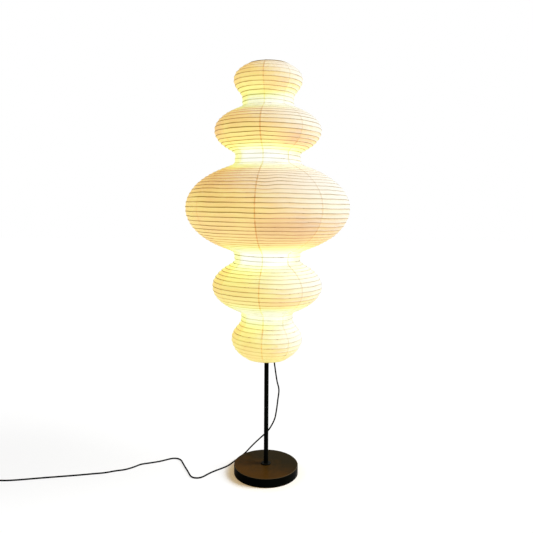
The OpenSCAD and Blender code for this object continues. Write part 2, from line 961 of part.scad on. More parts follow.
module switch_rocker() {
  half = rocker_l / 2;
  shoulder = (rocker_end_h + 2 * rocker_dip_h) / 3;
  color("#1d1d1d")
    at_switch()
      translate([0, 0, rocker_pivot_z])
        rotate([0, rocker_tilt, 0])
          rotate([90, 0, 0]) {
            translate([0, 0, -rocker_w / 2])
              linear_extrude(rocker_w)
                polygon([
                  [1 - half, -1], [-half, rocker_end_h], [-half / 2, shoulder], [0, rocker_dip_h],
                  [half / 2, shoulder], [half, rocker_end_h], [half - 1, -1],
                  [rocker_keel, -rocker_under], [-rocker_keel, -rocker_under]
                ]);
            cylinder(r = pivot_r, h = rocker_w + 2 * (rocker_gap + pivot_out), center = true);
          }
}

module switch_screws() {
  color(plated_steel)
    at_switch() {
      switch_holes(switch_screw_r, switch_head_t, switch_h - 5);
      switch_holes(switch_head_r, 0.3, switch_head_t);
    }
}

module plug_body() {
  color(cord_black)
    translate(plug_at)
      rotate([90, 0, 90])
        difference() {
          union() {
            cylinder(r1 = plug_boot_tip_r, r2 = plug_boot_root_r, h = plug_boot_l);
            translate([0, 0, plug_boot_l]) rounded_slab(plug_w, plug_h, plug_l, plug_corner);
          }
          translate([0, 0, -1]) cylinder(r = cord_r, h = plug_boot_l + 3);
          pin_shapes();
        }
}

module pin_shapes() {
  for (s = [-1, 1])
    translate([s * pin_gap / 2 - pin_t / 2, -pin_w / 2, plug_boot_l + plug_l - pin_root])
      cube([pin_t, pin_w, pin_root + pin_l]);
}

module plug_pins() {
  color(brass_colour) translate(plug_at) rotate([90, 0, 90]) pin_shapes();
}

// ---- Assembly ------------------------------------------------------------

base_pad();
base_weight();
base_cover();
base_washer();
base_nut();
foot_flange();
pole_plug();
pole_lower();
pole_middle();
pole_upper();
pole_joiners();
top_plug();
top_hanger();
top_nut();
top_ring();
bottom_hanger();
thumb_screw();
bottom_ring();
paper_panel(1);  // paper_panel_1
paper_panel(2);  // paper_panel_2
paper_panel(3);  // paper_panel_3
paper_panel(4);  // paper_panel_4
paper_panel(5);  // paper_panel_5
paper_panel(6);  // paper_panel_6
paper_panel(7);  // paper_panel_7
paper_panel(8);  // paper_panel_8
bamboo_ribs();
holder_clip(0);  // holder_clip_1
holder_clip(1);  // holder_clip_2
holder_clip(2);  // holder_clip_3
holder_clip(3);  // holder_clip_4
clip_screws();
lampholder(0);  // lampholder_1
lampholder(1);  // lampholder_2
lampholder(2);  // lampholder_3
lampholder(3);  // lampholder_4
holder_nipples();
nipple_nuts();
socket_shells();
bulb_cap(0);  // bulb_cap_1
bulb_cap(1);  // bulb_cap_2
bulb_cap(2);  // bulb_cap_3
bulb_cap(3);  // bulb_cap_4
bulb_glass(0);  // bulb_glass_1
bulb_glass(1);  // bulb_glass_2
bulb_glass(2);  // bulb_glass_3
bulb_glass(3);  // bulb_glass_4
inner_leads();
lead_clips();
cord_grip();
cord();
cord_coil();
coil_tie();
switch_bottom();
switch_top();
switch_rocker();
switch_screws();
plug_body();
plug_pins();
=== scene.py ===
# Floor lamp with a tall paper lantern: its looks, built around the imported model.
# Metres, +Z up. +X is to the right seen from the front, and the front faces -Y.
import bpy
import json
import math
import numpy as np
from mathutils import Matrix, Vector, noise


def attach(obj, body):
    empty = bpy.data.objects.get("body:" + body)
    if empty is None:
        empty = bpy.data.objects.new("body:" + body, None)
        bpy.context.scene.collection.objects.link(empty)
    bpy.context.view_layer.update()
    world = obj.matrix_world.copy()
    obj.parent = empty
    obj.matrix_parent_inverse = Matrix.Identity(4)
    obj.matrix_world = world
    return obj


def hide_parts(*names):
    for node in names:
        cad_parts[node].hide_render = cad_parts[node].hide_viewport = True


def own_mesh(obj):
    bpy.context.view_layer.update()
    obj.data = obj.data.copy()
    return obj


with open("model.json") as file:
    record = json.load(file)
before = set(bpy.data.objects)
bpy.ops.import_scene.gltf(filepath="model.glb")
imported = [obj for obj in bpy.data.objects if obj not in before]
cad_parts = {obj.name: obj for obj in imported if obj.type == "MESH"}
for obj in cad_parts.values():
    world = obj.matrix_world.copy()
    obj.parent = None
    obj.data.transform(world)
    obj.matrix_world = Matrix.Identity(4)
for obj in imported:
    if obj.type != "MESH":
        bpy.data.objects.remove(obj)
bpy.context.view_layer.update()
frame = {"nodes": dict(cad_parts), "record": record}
mm = 0.001  # lengths in the dictionaries of the pieces are in millimetres

# Camera, level and straight on, framed a little below its own height
camera = {
    "place": (-0.004, -2.212, 1.070),
    "focal": 37.15,
    "sensor": 36,
    "shift": -0.1135,
    "lean": -0.35,  # degrees
    "reach": 60,
}


def makeCamera():
    data = bpy.data.cameras.new("camera")
    data.lens = camera["focal"]
    data.sensor_width = camera["sensor"]
    data.shift_y = camera["shift"]
    data.clip_end = camera["reach"]
    obj = bpy.data.objects.new("camera", data)
    obj.location = camera["place"]
    obj.rotation_euler = (math.radians(90), math.radians(camera["lean"]), 0)
    bpy.context.scene.collection.objects.link(obj)
    bpy.context.scene.camera = obj


makeCamera()
print("camera made")


# Shared tools for meshes
def makeMesh(name, points, faces, smooth=True):
    mesh = bpy.data.meshes.new(name)
    mesh.from_pydata(np.asarray(points, float).tolist(), [], faces)
    mesh.update()
    mesh.shade_smooth() if smooth else mesh.shade_flat()
    obj = bpy.data.objects.new(name, mesh)
    bpy.context.scene.collection.objects.link(obj)
    return obj


def addValues(obj, name, values):  # one number for each vertex, for the materials to read
    attribute = obj.data.attributes.new(name, "FLOAT", "POINT")
    attribute.data.foreach_set("value", np.asarray(values, np.float32).ravel())


def smoothStep(low, high, value):
    t = np.clip((np.asarray(value, float) - low) / (high - low), 0, 1)
    return t * t * (3 - 2 * t)


def unitRows(rows):
    return rows / np.maximum(np.linalg.norm(rows, axis=-1, keepdims=True), 1e-12)


def gridFaces(rows, columns, closed=False, flip=False, first=0):  # quads over a grid of points
    faces = []
    for i in range(rows - 1):
        for j in range(columns if closed else columns - 1):
            k = (j + 1) % columns
            a, b = first + i * columns + j, first + i * columns + k
            c, d = a + columns, b + columns
            faces.append((a, c, d, b) if flip else (a, b, d, c))
    return faces


def smoothCurve(points, steps):  # a curve through every point, as the model's own cord has
    points = [Vector(p) for p in points]
    last = len(points) - 1
    line = []
    for i in range(last):
        a, b = points[max(i - 1, 0)], points[i]
        c, d = points[i + 1], points[min(i + 2, last)]
        for k in range(steps):
            t = k / steps
            line.append(0.5 * (2 * b + (c - a) * t + (2 * a - 5 * b + 4 * c - d) * t ** 2
                               + (3 * b - a - 3 * c + d) * t ** 3))
    line.append(points[last])
    return line


def sweepTube(line, radius, sides):  # points and faces of a capped round tube along a line
    line = np.array([tuple(p) for p in line])
    along = unitRows(np.gradient(line, axis=0))
    aside = (0.3, 0.2, 1.0)  # any direction but that of the tube's start
    side = np.cross(along[0], aside)
    points = []
    for centre, direction in zip(line, along):
        side = side - direction * side.dot(direction)
        side = side / np.linalg.norm(side)
        other = np.cross(direction, side)
        for k in range(sides):
            a = 2 * math.pi * k / sides
            points.append(centre + radius * (math.cos(a) * side + math.sin(a) * other))
    faces = gridFaces(len(line), sides, closed=True)
    faces.append(tuple(reversed(range(sides))))
    faces.append(tuple(range((len(line) - 1) * sides, len(line) * sides)))
    return points, faces


def lathe(name, outline, steps):  # a closed outline of (radius, height) turned about the Z axis
    rows = len(outline)
    onAxis = 1e-9
    points, faces = [], []
    for j in range(steps):
        a = 2 * math.pi * j / steps
        points += [(r * math.cos(a), r * math.sin(a), z) for r, z in outline]
    for j in range(steps):
        k = (j + 1) % steps
        for i in range(rows):
            n = (i + 1) % rows
            quad = [j * rows + i, k * rows + i, k * rows + n, j * rows + n]
            if outline[i][0] < onAxis:
                quad.remove(k * rows + i)
            if outline[n][0] < onAxis:
                quad.remove(k * rows + n)
            if len(quad) > 2:
                faces.append(tuple(quad))
    obj = makeMesh(name, points, faces)
    keepUsed(obj)
    return obj


def keepUsed(obj):  # drops the points that no face uses, left by an outline that touches the axis
    mesh = obj.data
    used = sorted({v for f in mesh.polygons for v in f.vertices})
    place = {v: i for i, v in enumerate(used)}
    points = [mesh.vertices[v].co[:] for v in used]
    faces = [tuple(place[v] for v in f.vertices) for f in mesh.polygons]
    mesh.clear_geometry()
    mesh.from_pydata(points, [], faces)
    mesh.update()
    mesh.shade_smooth()


def sharpen(obj, degrees):  # keeps corners above this angle crisp under smooth shading
    obj.data.set_sharp_from_angle(angle=math.radians(degrees))


# Mains cord: down out of the lantern, over the floor, through its switch and round its coil
cord = {
    "radius": 3,
    "length": 2.70,  # metres, from the grip to the plug
    "exit": (12, 17, 551),  # where it leaves its grip
    "route": [
        (12, 17, 575), (12, 17, 548), (16, 18, 518), (23, 20, 485),
        (30, 22, 445), (42, 26, 364), (51, 30, 322), (47, 35, 278), (42, 42, 235),
        (34, 52, 192), (12, 66, 145), (-12, 82, 114), (-40, 97, 82), (-64, 107, 54),
        (-86, 106, 31), (-108, 96, 17), (-130, 76, 9), (-153, 48, 4), (-178, 24, 3),
        (-204, 2, 3), (-223, -17, 3), (-237, -34, 3), (-247, -46, 3), (-259, -55, 3),
        (-274, -57, 3), (-288, -52, 3), (-298, -40, 3), (-305, -24, 3), (-316, 2, 3),
        (-332, 38, 3), (-347, 74, 3), (-355, 91, 3), (-367, 104, 3), (-384, 109, 3),
        (-401, 105, 3), (-418, 95, 3), (-444, 80, 3), (-480, 66, 3), (-514, 53, 3),
        (-540, 28, 3), (-568, 8, 3), (-604, -4, 3), (-644, -20, 3), (-692, -30, 3),
        (-750, -42, 3), (-812, -53, 3), (-884, -66, 3), (-956, -80, 3), (-1002, -86, 3),
        (-1034, -85, 3), (-1058, -79, 5), (-1078, -76, 9), (-1108, -76, 9), (-1140, -76, 9),
        (-1179, -76, 4),
    ],
    "tail": [(-1179, -10, 9.8), (-1172, -10, 9.3), (-1160, -10, 9), (-1146, -10, 9)],
    "coilCentre": (-1200, -43),
    "coilRadii": (36, 30),  # outer and inner turns
    "coilHeights": (3.8, 9.8),  # low and high turns
    "coilTurns": 3.5,
    "coilIn": (0.5, 0.75),  # turns over which the coil moves inward, then up, then out again
    "coilUp": (1.6, 1.85),
    "coilOut": (2.55, 2.8),
    "coilPoints": 24,  # in each turn
    "steps": 6,  # from one point to the next
    "sides": 16,
    "onIt": ["coil_tie", "switch_bottom", "switch_top", "switch_rocker", "switch_screws",
             "plug_body", "plug_pins"],  # pieces that go where the cord goes
}


def coilPoint(turn):
    outer, inner = cord["coilRadii"]
    low, high = cord["coilHeights"]
    inward = float(smoothStep(*cord["coilIn"], turn) - smoothStep(*cord["coilOut"], turn))
    raised = float(smoothStep(*cord["coilUp"], turn))
    radius = outer + (inner - outer) * inward
    angle = -math.pi / 2 - 2 * math.pi * turn
    x, y = cord["coilCentre"]
    return (x + radius * math.cos(angle), y + radius * math.sin(angle), low + (high - low) * raised)


def makeCord():
    count = int(cord["coilTurns"] * cord["coilPoints"])
    coil = [coilPoint(i / cord["coilPoints"]) for i in range(count + 1)]
    line = smoothCurve(cord["route"] + coil + cord["tail"], cord["steps"])
    line = [Vector((p.x, p.y, max(p.z, cord["radius"]))) * mm for p in line]
    obj = makeMesh("mainsCord", *sweepTube(line, cord["radius"] * mm, cord["sides"]))
    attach(obj, "stand")
    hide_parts("cord", "cord_coil")
    print("cord centreline", round(sum((b - a).length for a, b in zip(line, line[1:])), 3), "m")
    return obj


mainsCord = makeCord()

# Leads that join the lampholders inside the lantern
leads = {
    "radius": 2.2,
    "steps": 6,
    "sides": 12,
    "routes": [
        [(12, 17, 598), (8, 17, 620), (3, 17, 650), (0, 17, 690), (-3, 17, 720),
         (-10, 14, 745), (-26, 5, 758), (-37, 0, 745), (-38.4, 0, 720), (-38.4, 0, 695)],
        [(-33.6, 0, 695), (-33.6, 0, 705), (-31, 7, 714), (-22, 18, 724), (0, 26, 734),
         (20, 20, 748), (31, 8, 765), (33.6, 0, 782), (33.6, 0, 794)],
        [(38.4, 0, 794), (38.4, 0, 770), (36, 2, 750), (26, 8, 736), (12, 15, 738),
         (4, 17, 760), (2, 16, 790), (1.5, 15, 810), (0, 12.6, 840), (0, 12.6, 900),
         (0, 12.6, 1000), (0, 12.6, 1100), (0, 12.6, 1200), (0, 12.6, 1290), (-2, 16, 1318),
         (-4, 17, 1345), (-10, 14, 1373), (-26, 5, 1387), (-37, 0, 1375),
         (-38.4, 0, 1352), (-38.4, 0, 1335)],
        [(-33.6, 0, 1335), (-33.6, 0, 1345), (-31, 7, 1354), (-22, 18, 1363), (0, 26, 1371),
         (20, 20, 1381), (31, 8, 1396), (33.6, 0, 1409), (33.6, 0, 1419)],
    ],
}


def makeLeads():
    points, faces = [], []
    for route in leads["routes"]:
        line = [Vector(p) * mm for p in smoothCurve(route, leads["steps"])]
        tube, quads = sweepTube(line, leads["radius"] * mm, leads["sides"])
        faces += [tuple(v + len(points) for v in face) for face in quads]
        points += tube
    obj = makeMesh("innerLeads", points, faces)
    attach(obj, "stand")
    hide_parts("inner_leads")
    return obj


innerLeads = makeLeads()
print("cord and leads made")

# Lantern: five bulges of paper, with a spiral rib wound round inside them
lantern = {
    "rims": (463, 1637),
    "rimRadius": 80,
    # Each bulge's middle height, its radius and half its height
    "bulges": [(541, 140, 80), (751, 219, 114), (1062, 328, 188), (1370, 215, 106), (1575, 138, 78)],
    "waistRadii": (104, 138, 138, 104),
    "blend": 14,  # how softly bulges and waists run together
    "paper": 0.3,
    "ribSpacing": 18,
    "ribWidth": 2.2,
    "ribDepth": 1.6,
    "ribCorner": 0.35,
    "ribFromEnd": 0.9,  # turns
    "ribPoints": 80,  # in each turn
    "seams": 8,
    "seamAngle": -8,
    "lap": 4,  # width of the glued overlap at a seam
    "besideLap": 3.5,  # from its edge to the next column of points
    "overlapGap": 0.05,
    "wander": 2.0,  # how far the rib strays up and down
    "wanderFields": [(1, 110, 3), (0.45, 38, 8)],  # share, size of its patches, and a number of its own
    "sag": 1.7,  # how far the paper hangs in between two turns of the rib
    "sagField": (0.35, 80, 60),
    "crumple": 1.0,  # small unevenness of the paper between the ribs
    "crumpleFields": [(1, 26, 21), (0.7, 11, 40)],
    "crumpleOnRib": 0.25,  # share of it over the rib
    "lip": 1.5,  # how far the paper stands out where it is folded round an end ring
    "lipPlace": (2.5, 2),  # its middle from the end, and its width
    "calmWander": 60,  # length at each end over which the rib comes to rest
    "calmPaper": 14,  # length at each end over which the paper comes to lie flat
    "levelTurns": 1.5,  # turns at each end over which the rows become level
    "rowTurns": (-0.062, 0, 0.062, 0.2, 0.35, 0.5, 0.65, 0.8),  # rows of points from one turn to the next
    "rowGap": 0.05,  # turns beside each end without a row
    "columns": 24,  # of points between the overlaps at both edges of a sheet
    "slide": 60,  # how far the lower hanger can rise
}
# Places where a turn of the rib was bent while it was wound: azimuth, height, amount, width and height
pinches = [
    (-92, 1150, -6.0, 6, 30),
    (-80, 1172, 3.0, 7, 24),
    (-56, 1176, -3.5, 8, 20),
    (-60, 1010, 3.0, 6, 18),
    (-138, 1122, 2.5, 12, 25),
    (-100, 1330, 2.4, 10, 18),
    (-70, 760, -2.4, 12, 20),
    (60, 1100, 2.6, 12, 30),
    (150, 980, -2.4, 12, 30),
    (20, 1390, 2.0, 16, 24),
]


def joinedRadius(z):  # the bulges, run together smoothly with the waists between them
    blend = lantern["blend"]
    bulges = lantern["bulges"]
    middles = [(a[0] + b[0]) / 2 for a, b in zip(bulges, bulges[1:])]
    radii = [r * np.sqrt(np.clip(1 - ((z - c) / h) ** 2, 0, None)) for c, r, h in bulges]
    radii.append(np.interp(z, middles, lantern["waistRadii"]))
    widest = np.max(radii, axis=0)
    return widest + blend * np.log(sum(np.exp((r - widest) / blend) for r in radii))


def endRadius(z, middle, rim):  # an end closes in as a quarter ellipse to its ring
    widest = joinedRadius(np.array([float(middle)]))[0]
    half = (rim - middle) / math.sqrt(1 - (lantern["rimRadius"] / widest) ** 2)
    return widest * np.sqrt(np.clip(1 - ((z - middle) / half) ** 2, 0, None))


def lanternOutline():
    low, high = lantern["rims"]
    z = np.arange(low, high + 0.5, 1.0)
    first, last = lantern["bulges"][0][0], lantern["bulges"][-1][0]
    r = joinedRadius(z)
    r = np.where(z < first, endRadius(z, first, low), r)
    r = np.where(z > last, endRadius(z, last, high), r)
    s = np.concatenate([[0], np.cumsum(np.hypot(np.diff(r), np.diff(z)))])
    return s, r, z


outlineS, outlineR, outlineZ = lanternOutline()
paperLength = outlineS[-1]
turns = round(paperLength / lantern["ribSpacing"])
spacing = paperLength / turns


def onOutline(s):  # radius, height and outward direction at a length along the paper
    s = np.clip(s, 0, paperLength)
    reach = 5
    r, z = np.interp(s, outlineS, outlineR), np.interp(s, outlineS, outlineZ)
    ahead, behind = np.clip(s + reach, 0, paperLength), np.clip(s - reach, 0, paperLength)
    dr = np.interp(ahead, outlineS, outlineR) - np.interp(behind, outlineS, outlineR)
    dz = np.interp(ahead, outlineS, outlineZ) - np.interp(behind, outlineS, outlineZ)
    size = np.hypot(dr, dz)
    return r, z, dz / size, -dr / size


def fieldNoise(r, z, azimuth, scale, seed):  # an even random field over the lantern
    a = np.radians(azimuth)
    xs, ys, zs = r * np.cos(a) / scale, r * np.sin(a) / scale, z / scale + seed
    flat = [noise.noise(Vector(p)) for p in zip(xs.ravel(), ys.ravel(), zs.ravel())]
    return np.array(flat).reshape(np.shape(xs))


def sumNoise(r, z, azimuth, fields):
    return sum(share * fieldNoise(r, z, azimuth, size, seed) for share, size, seed in fields)


def spot(azimuth, z, angle, height, width, tall):  # 1 at a place on the lantern, and 0 away from it
    off = (azimuth - angle + 180) % 360 - 180
    return np.exp(-(off / width) ** 2 - ((z - height) / tall) ** 2)


def fromEnds(value, whole, margin):  # 0 at both ends of a length, and 1 past the margin
    return smoothStep(0, margin, value) * smoothStep(0, margin, whole - value)


def ribWander(s, azimuth):  # how far the rib and the paper are shifted along the paper
    r, z, _, _ = onOutline(s)
    shift = lantern["wander"] * sumNoise(r, z, azimuth, lantern["wanderFields"])
    for angle, height, amount, width, tall in pinches:
        shift += amount * spot(azimuth, z, angle, height, width, tall)
    return shift * fromEnds(s, paperLength, lantern["calmWander"])


def ribTurn(s, azimuth):  # whole numbers are on the rib, which comes down from left to right
    return s / spacing + azimuth / 360


# Light from the bulbs as it shows on the paper: a level for each height, and a bright belt near each
# waist, where a bulb is close behind the paper
glow = {
    "levels": [(463, 1.36), (550, 1.38), (600, 1.33), (700, 1.24), (760, 1.28), (800, 1.46), (850, 1.38),
               (900, 1.15), (965, 1.06), (1060, 1.16), (1110, 1.08), (1150, 0.93), (1190, 0.90),
               (1215, 0.98), (1245, 1.25), (1330, 1.23), (1368, 1.13), (1400, 1.06), (1430, 1.04),
               (1470, 1.26), (1510, 1.40), (1535, 1.30), (1556, 1.15), (1600, 1.09), (1637, 1.00)],
    # Height, strength, and reach below and above
    "belts": [(648, 1.9, 36, 36), (868, 2.8, 34, 40), (1257, 3.2, 34, 36), (1472, 1.9, 22, 26)],
    "sides": 0.62,  # how much weaker the belts are beside the bulbs than in front of them and behind
    "sideStart": (0.65, 0.95),  # shares of the lantern's half width where that begins and is full
    "sheetBelts": (0.90, 1.00, 1.10, 0.95, 0.80, 0.95, 1.12, 0.92),  # each sheet's own share of the belts
    "dimAndShadedPlaces": [  # places where the glow is weaker; on sheets 7 and 8, at the front and right, they are painted shade on the bulges' downward flanks: the sheet's number, azimuth, height, loss of light, width and height
        (7, -68, 1000, 0.33, 34, 56), (8, -36, 990, 0.26, 26, 50), (7, -50, 1320, 0.46, 27, 42),
        (7, -45, 1284, 0.30, 24, 18), (8, -40, 1308, 0.40, 26, 42), (7, -72, 706, 0.20, 28, 26),
        (7, -70, 1532, 0.22, 34, 24), (7, -74, 518, 0.16, 36, 28), (6, -118, 518, 0.09, 26, 28),
        (2, 60, 1120, 0.12, 20, 60), (4, 150, 1010, 0.16, 18, 70), (5, 198, 1362, 0.22, 20, 40),
        (5, 205, 800, 0.20, 26, 60), (5, 205, 917, 0.16, 26, 26), (5, 205, 575, 0.18, 26, 40),
    ],
    "clouds": (0.06, 45, 75),  # uneven light: share, size of its patches, and a number of its own
    "patches": {"share": 0.08, "size": 70, "apart": 7.3, "seed": 1.7},  # from one sheet to the next
    # How strongly the rib shows through at each height, and how much less where daylight falls
    "ribShown": [(463, 0.46), (610, 0.48), (690, 0.66), (810, 0.72), (960, 0.95), (1150, 0.95), (1300, 0.92),
                 (1420, 1.0), (1500, 0.70), (1637, 0.70)],
    "ribDay": 0.28,
    "ribDaySide": (-0.4, 0.7),
    "frontSeam": 6,  # the one that shows most, and how strongly it and the others show by height
    "lapStrength": [(463, 0.5), (640, 0.8), (750, 0.7), (860, 1.0), (1000, 0.9), (1200, 1.1), (1360, 0.8),
                    (1637, 0.6)],
    "lapFaint": [(463, 0.15), (640, 0.5), (750, 0.25), (860, 0.8), (1000, 0.35), (1160, 0.25), (1250, 0.8),
                 (1360, 0.25), (1637, 0.2)],
    "lapMost": 1.3,
    "dashes": {"share": 0.9, "size": 16, "apart": 9.1, "seed": 4.2},  # uneven glue along a seam
    "lowRim": 8,  # how much less of the paper's edge is dark round the lower ring
}
daylight = {
    "place": (2.4, -0.2, 1.5),  # the key lamp's too
    "hides": 0.97,  # share of the glow that it hides where the paper faces it
    "steps": range(20, 500, 40),  # millimetres on the way to it, where the lantern can be in between
    "shadeEdge": (-0.2, 0.2),  # how clear that way is where the paper starts to be lit, and is all lit
}


def stripNoise(number, z, field):  # uneven strength down one sheet or seam, different for each
    across, size, seed = number * field["apart"], field["size"], field["seed"]
    values = [noise.noise(Vector((across, height / size, seed))) for height in z[:, 0]]
    return 1 + field["share"] * np.array(values)


def glowAt(number, r, z, azimuth):
    level = np.interp(z, *zip(*glow["levels"]))
    side = 1 - glow["sides"] * smoothStep(*glow["sideStart"], np.abs(np.cos(np.radians(azimuth))))
    for height, strength, below, above in glow["belts"]:
        belt = strength * np.exp(-np.abs((z - height) / np.where(z < height, below, above)) ** 3)
        level = level + glow["sheetBelts"][number - 1] * side * belt
    # weaker glow at the listed places; on sheets 7 and 8 this is painted shade on the bulges' downward
    # flanks
    for sheet, angle, height, loss, width, tall in glow["dimAndShadedPlaces"]:
        if sheet == number:
            level = level * (1 - loss * spot(azimuth, z, angle, height, width, tall))
    level = level * stripNoise(number, z, glow["patches"])[:, None]
    return level * (1 + sumNoise(r, z, azimuth, [glow["clouds"]]))


def lapShown(number, z):  # how strongly the glued strips at both edges of a sheet show, in dashes
    edges = []
    for seam in (number - 1, number % lantern["seams"]):
        full = glow["lapStrength"] if seam == glow["frontSeam"] else glow["lapFaint"]
        strength = np.interp(z[:, 0], *zip(*full)) * stripNoise(seam, z, glow["dashes"])
        edges.append(np.clip(strength, 0, glow["lapMost"])[:, None])
    left, right = edges
    half = z.shape[1] // 2
    return np.concatenate([np.tile(left, half), np.tile(right, z.shape[1] - half)], axis=1)


def ribShown(z, azimuth):  # how strongly the rib shows through, less so on the side of the daylight
    day = smoothStep(*glow["ribDaySide"], np.cos(np.radians(azimuth)))
    return np.interp(z, *zip(*glow["ribShown"])) * (1 - glow["ribDay"] * day)


def gridNormals(points):  # outward directions over a grid of points, rows up and columns round
    up, across = np.gradient(points, axis=0), np.gradient(points, axis=1)
    return unitRows(np.cross(across, up))


def dayShare(points, normals):  # how much of the glow is left where daylight falls on the paper
    toward = np.array(daylight["place"]) / np.linalg.norm(daylight["place"])
    room = np.full(points.shape[:2], 1.0)  # how clear of the lantern itself the way to the light is
    for step in daylight["steps"]:
        x, y, z = np.moveaxis(points / mm + toward * step, -1, 0)
        rest = np.interp(z, outlineZ, outlineR, left=0, right=0)
        room = np.minimum(room, (np.hypot(x, y) - rest) / step)
    lit = smoothStep(*daylight["shadeEdge"], room)
    return 1 - daylight["hides"] * lit * np.clip(normals @ toward, 0, 1)


def panelColumns(start, end, r):  # azimuths across one sheet, with its glued strips at both edges
    strip = np.degrees(lantern["lap"] / 2 / r)
    step = np.degrees(lantern["besideLap"] / r)
    inner = np.linspace(0, 1, lantern["columns"])[None, :]
    left, right = start + strip + step, end - strip - step
    middle = left + (right - left) * inner
    return np.concatenate([start - strip, start + strip, middle, end - strip, end + strip], axis=1)


def panelRows(middleTurn):  # lengths along the paper, in turns: close on both sides of the rib
    gap = lantern["rowGap"]
    rows = sorted(k + part - middleTurn for k in range(-1, turns + 2) for part in lantern["rowTurns"])
    return np.array([0] + [row for row in rows if gap < row < turns - gap] + [turns])


def sheetFaces(rows, columns):  # the two sides of a sheet, and the four narrow faces round its edge
    total = rows * columns
    faces = gridFaces(rows, columns) + gridFaces(rows, columns, flip=True, first=total)
    for i in range(rows - 1):
        a, b = i * columns, (i + 1) * columns
        faces.append((a, b, total + b, total + a))
        a, b = a + columns - 1, b + columns - 1
        faces.append((b, a, total + a, total + b))
    for j in range(columns - 1):
        faces.append((j + 1, j, total + j, total + j + 1))
        a = (rows - 1) * columns + j
        faces.append((a, a + 1, total + a + 1, total + a))
    return faces


def roundPoints(radius, z, azimuth):  # radius, height and azimuth to metres
    angle = np.radians(azimuth)
    return np.stack([radius * np.cos(angle), radius * np.sin(angle), z], axis=-1) * mm


def paperOffset(s, r, z, azimuth, hang):  # how far the paper stands out from the plain outline
    flat = fromEnds(s, paperLength, lantern["calmPaper"])
    slack = 1 + sumNoise(r, z, azimuth, [lantern["sagField"]])
    uneven = sumNoise(r, z, azimuth, lantern["crumpleFields"])
    onRib = lantern["crumpleOnRib"]
    middle, width = lantern["lipPlace"]
    offset = -lantern["sag"] * slack * hang * flat
    offset += lantern["crumple"] * uneven * (onRib + (1 - onRib) * hang) * flat
    return offset + lantern["lip"] * np.exp(-((np.minimum(s, paperLength - s) - middle) / width) ** 2)


def makePanel(number):
    width = 360 / lantern["seams"]
    start = lantern["seamAngle"] + (number - 1) * width
    middle = start + width / 2
    rows = panelRows(middle / 360)[:, None]
    azimuth = panelColumns(start, start + width, onOutline(rows * spacing)[0])
    slant = (azimuth - middle) / 360 * fromEnds(rows, turns, lantern["levelTurns"])
    s = spacing * (rows - slant)
    turn = ribTurn(s, azimuth)
    share = turn % 1
    r, z, outR, outZ = onOutline(s + ribWander(s, azimuth))
    offset = paperOffset(s, r, z, azimuth, 4 * share * (1 - share))
    layers = np.zeros_like(azimuth)
    layers[:, :2] = 1
    layers[:, -2:] = 1
    lift = np.zeros_like(azimuth)
    lift[:, :2] = lantern["paper"] + lantern["overlapGap"]  # the left strip lies over its neighbour
    sides = []
    for depth in (0, lantern["paper"]):
        out = offset + lift - depth
        sides.append(roundPoints(r + outR * out, z + outZ * out, azimuth))
    outer, inner = sides
    points = np.concatenate([outer.reshape(-1, 3), inner.reshape(-1, 3)])
    obj = makeMesh(f"paperPanel{number}", points, sheetFaces(*azimuth.shape))
    sharpen(obj, 62)
    values = {
        "glow": glowAt(number, r, z, azimuth),
        "dayShare": dayShare(outer, gridNormals(outer)),
        "ribShown": ribShown(z, azimuth),
        "lapShown": lapShown(number, z),
        "ribTurn": turn,
        "layers": layers,
        "rimDistance": np.minimum(s + glow["lowRim"], paperLength - s) * mm,
    }
    for name, value in values.items():
        addValues(obj, name, np.tile(value.ravel(), 2))
    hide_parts(f"paper_panel_{number}")
    return obj


def ribSection():  # a flat strip with its corners taken off, as distances along the paper and outward
    half, front, corner = lantern["ribWidth"] / 2, -lantern["paper"], lantern["ribCorner"]
    back = front - lantern["ribDepth"]
    return [(-half + corner, front), (half - corner, front), (half, front - corner), (half, back + corner),
            (half - corner, back), (-half + corner, back), (-half, back + corner), (-half, front - corner)]


def makeRib():
    fromEnd = lantern["ribFromEnd"]
    turn = np.arange(fromEnd, turns - fromEnd, 1 / lantern["ribPoints"])
    azimuth = -360 * turn
    s = turn * spacing
    r, z, outR, outZ = onOutline(s + ribWander(s, azimuth))
    section = ribSection()
    rings = [roundPoints(r + outR * out - outZ * across, z + outZ * out + outR * across, azimuth)
             for across, out in section]
    points = np.stack(rings, axis=1).reshape(-1, 3)
    sides = len(section)
    faces = gridFaces(len(turn), sides, closed=True, flip=True)
    faces.append(tuple(range(sides)))
    faces.append(tuple(reversed(range((len(turn) - 1) * sides, len(turn) * sides))))
    obj = makeMesh("spiralRib", points, faces)
    sharpen(obj, 35)
    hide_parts("bamboo_ribs")
    return obj


def followHanger(obj):  # the paper and its rib go with the stand, each with a mesh of its own
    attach(obj, "stand")
    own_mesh(obj)


panels = [makePanel(k + 1) for k in range(lantern["seams"])]
spiralRib = makeRib()
for piece in panels + [spiralRib]:
    followHanger(piece)
print("lantern made:", turns, "turns of rib,", sum(len(p.data.polygons) for p in panels), "faces of paper")

# Foot cover, pressed from sheet with a rolled top edge
foot = {
    "radius": 128,
    "top": 35,
    "wall": 1.5,
    "skirt": 1,
    "roll": 2.5,
    "rollSteps": 8,
    "innerSteps": 3,
    "edge": 0.4,  # bevel at the skirt's lower edge
    "hole": 5.5,
    "rings": (120, 100, 60, 24),  # radii of the points across the top
    "underRing": 60,
    "around": 192,
}


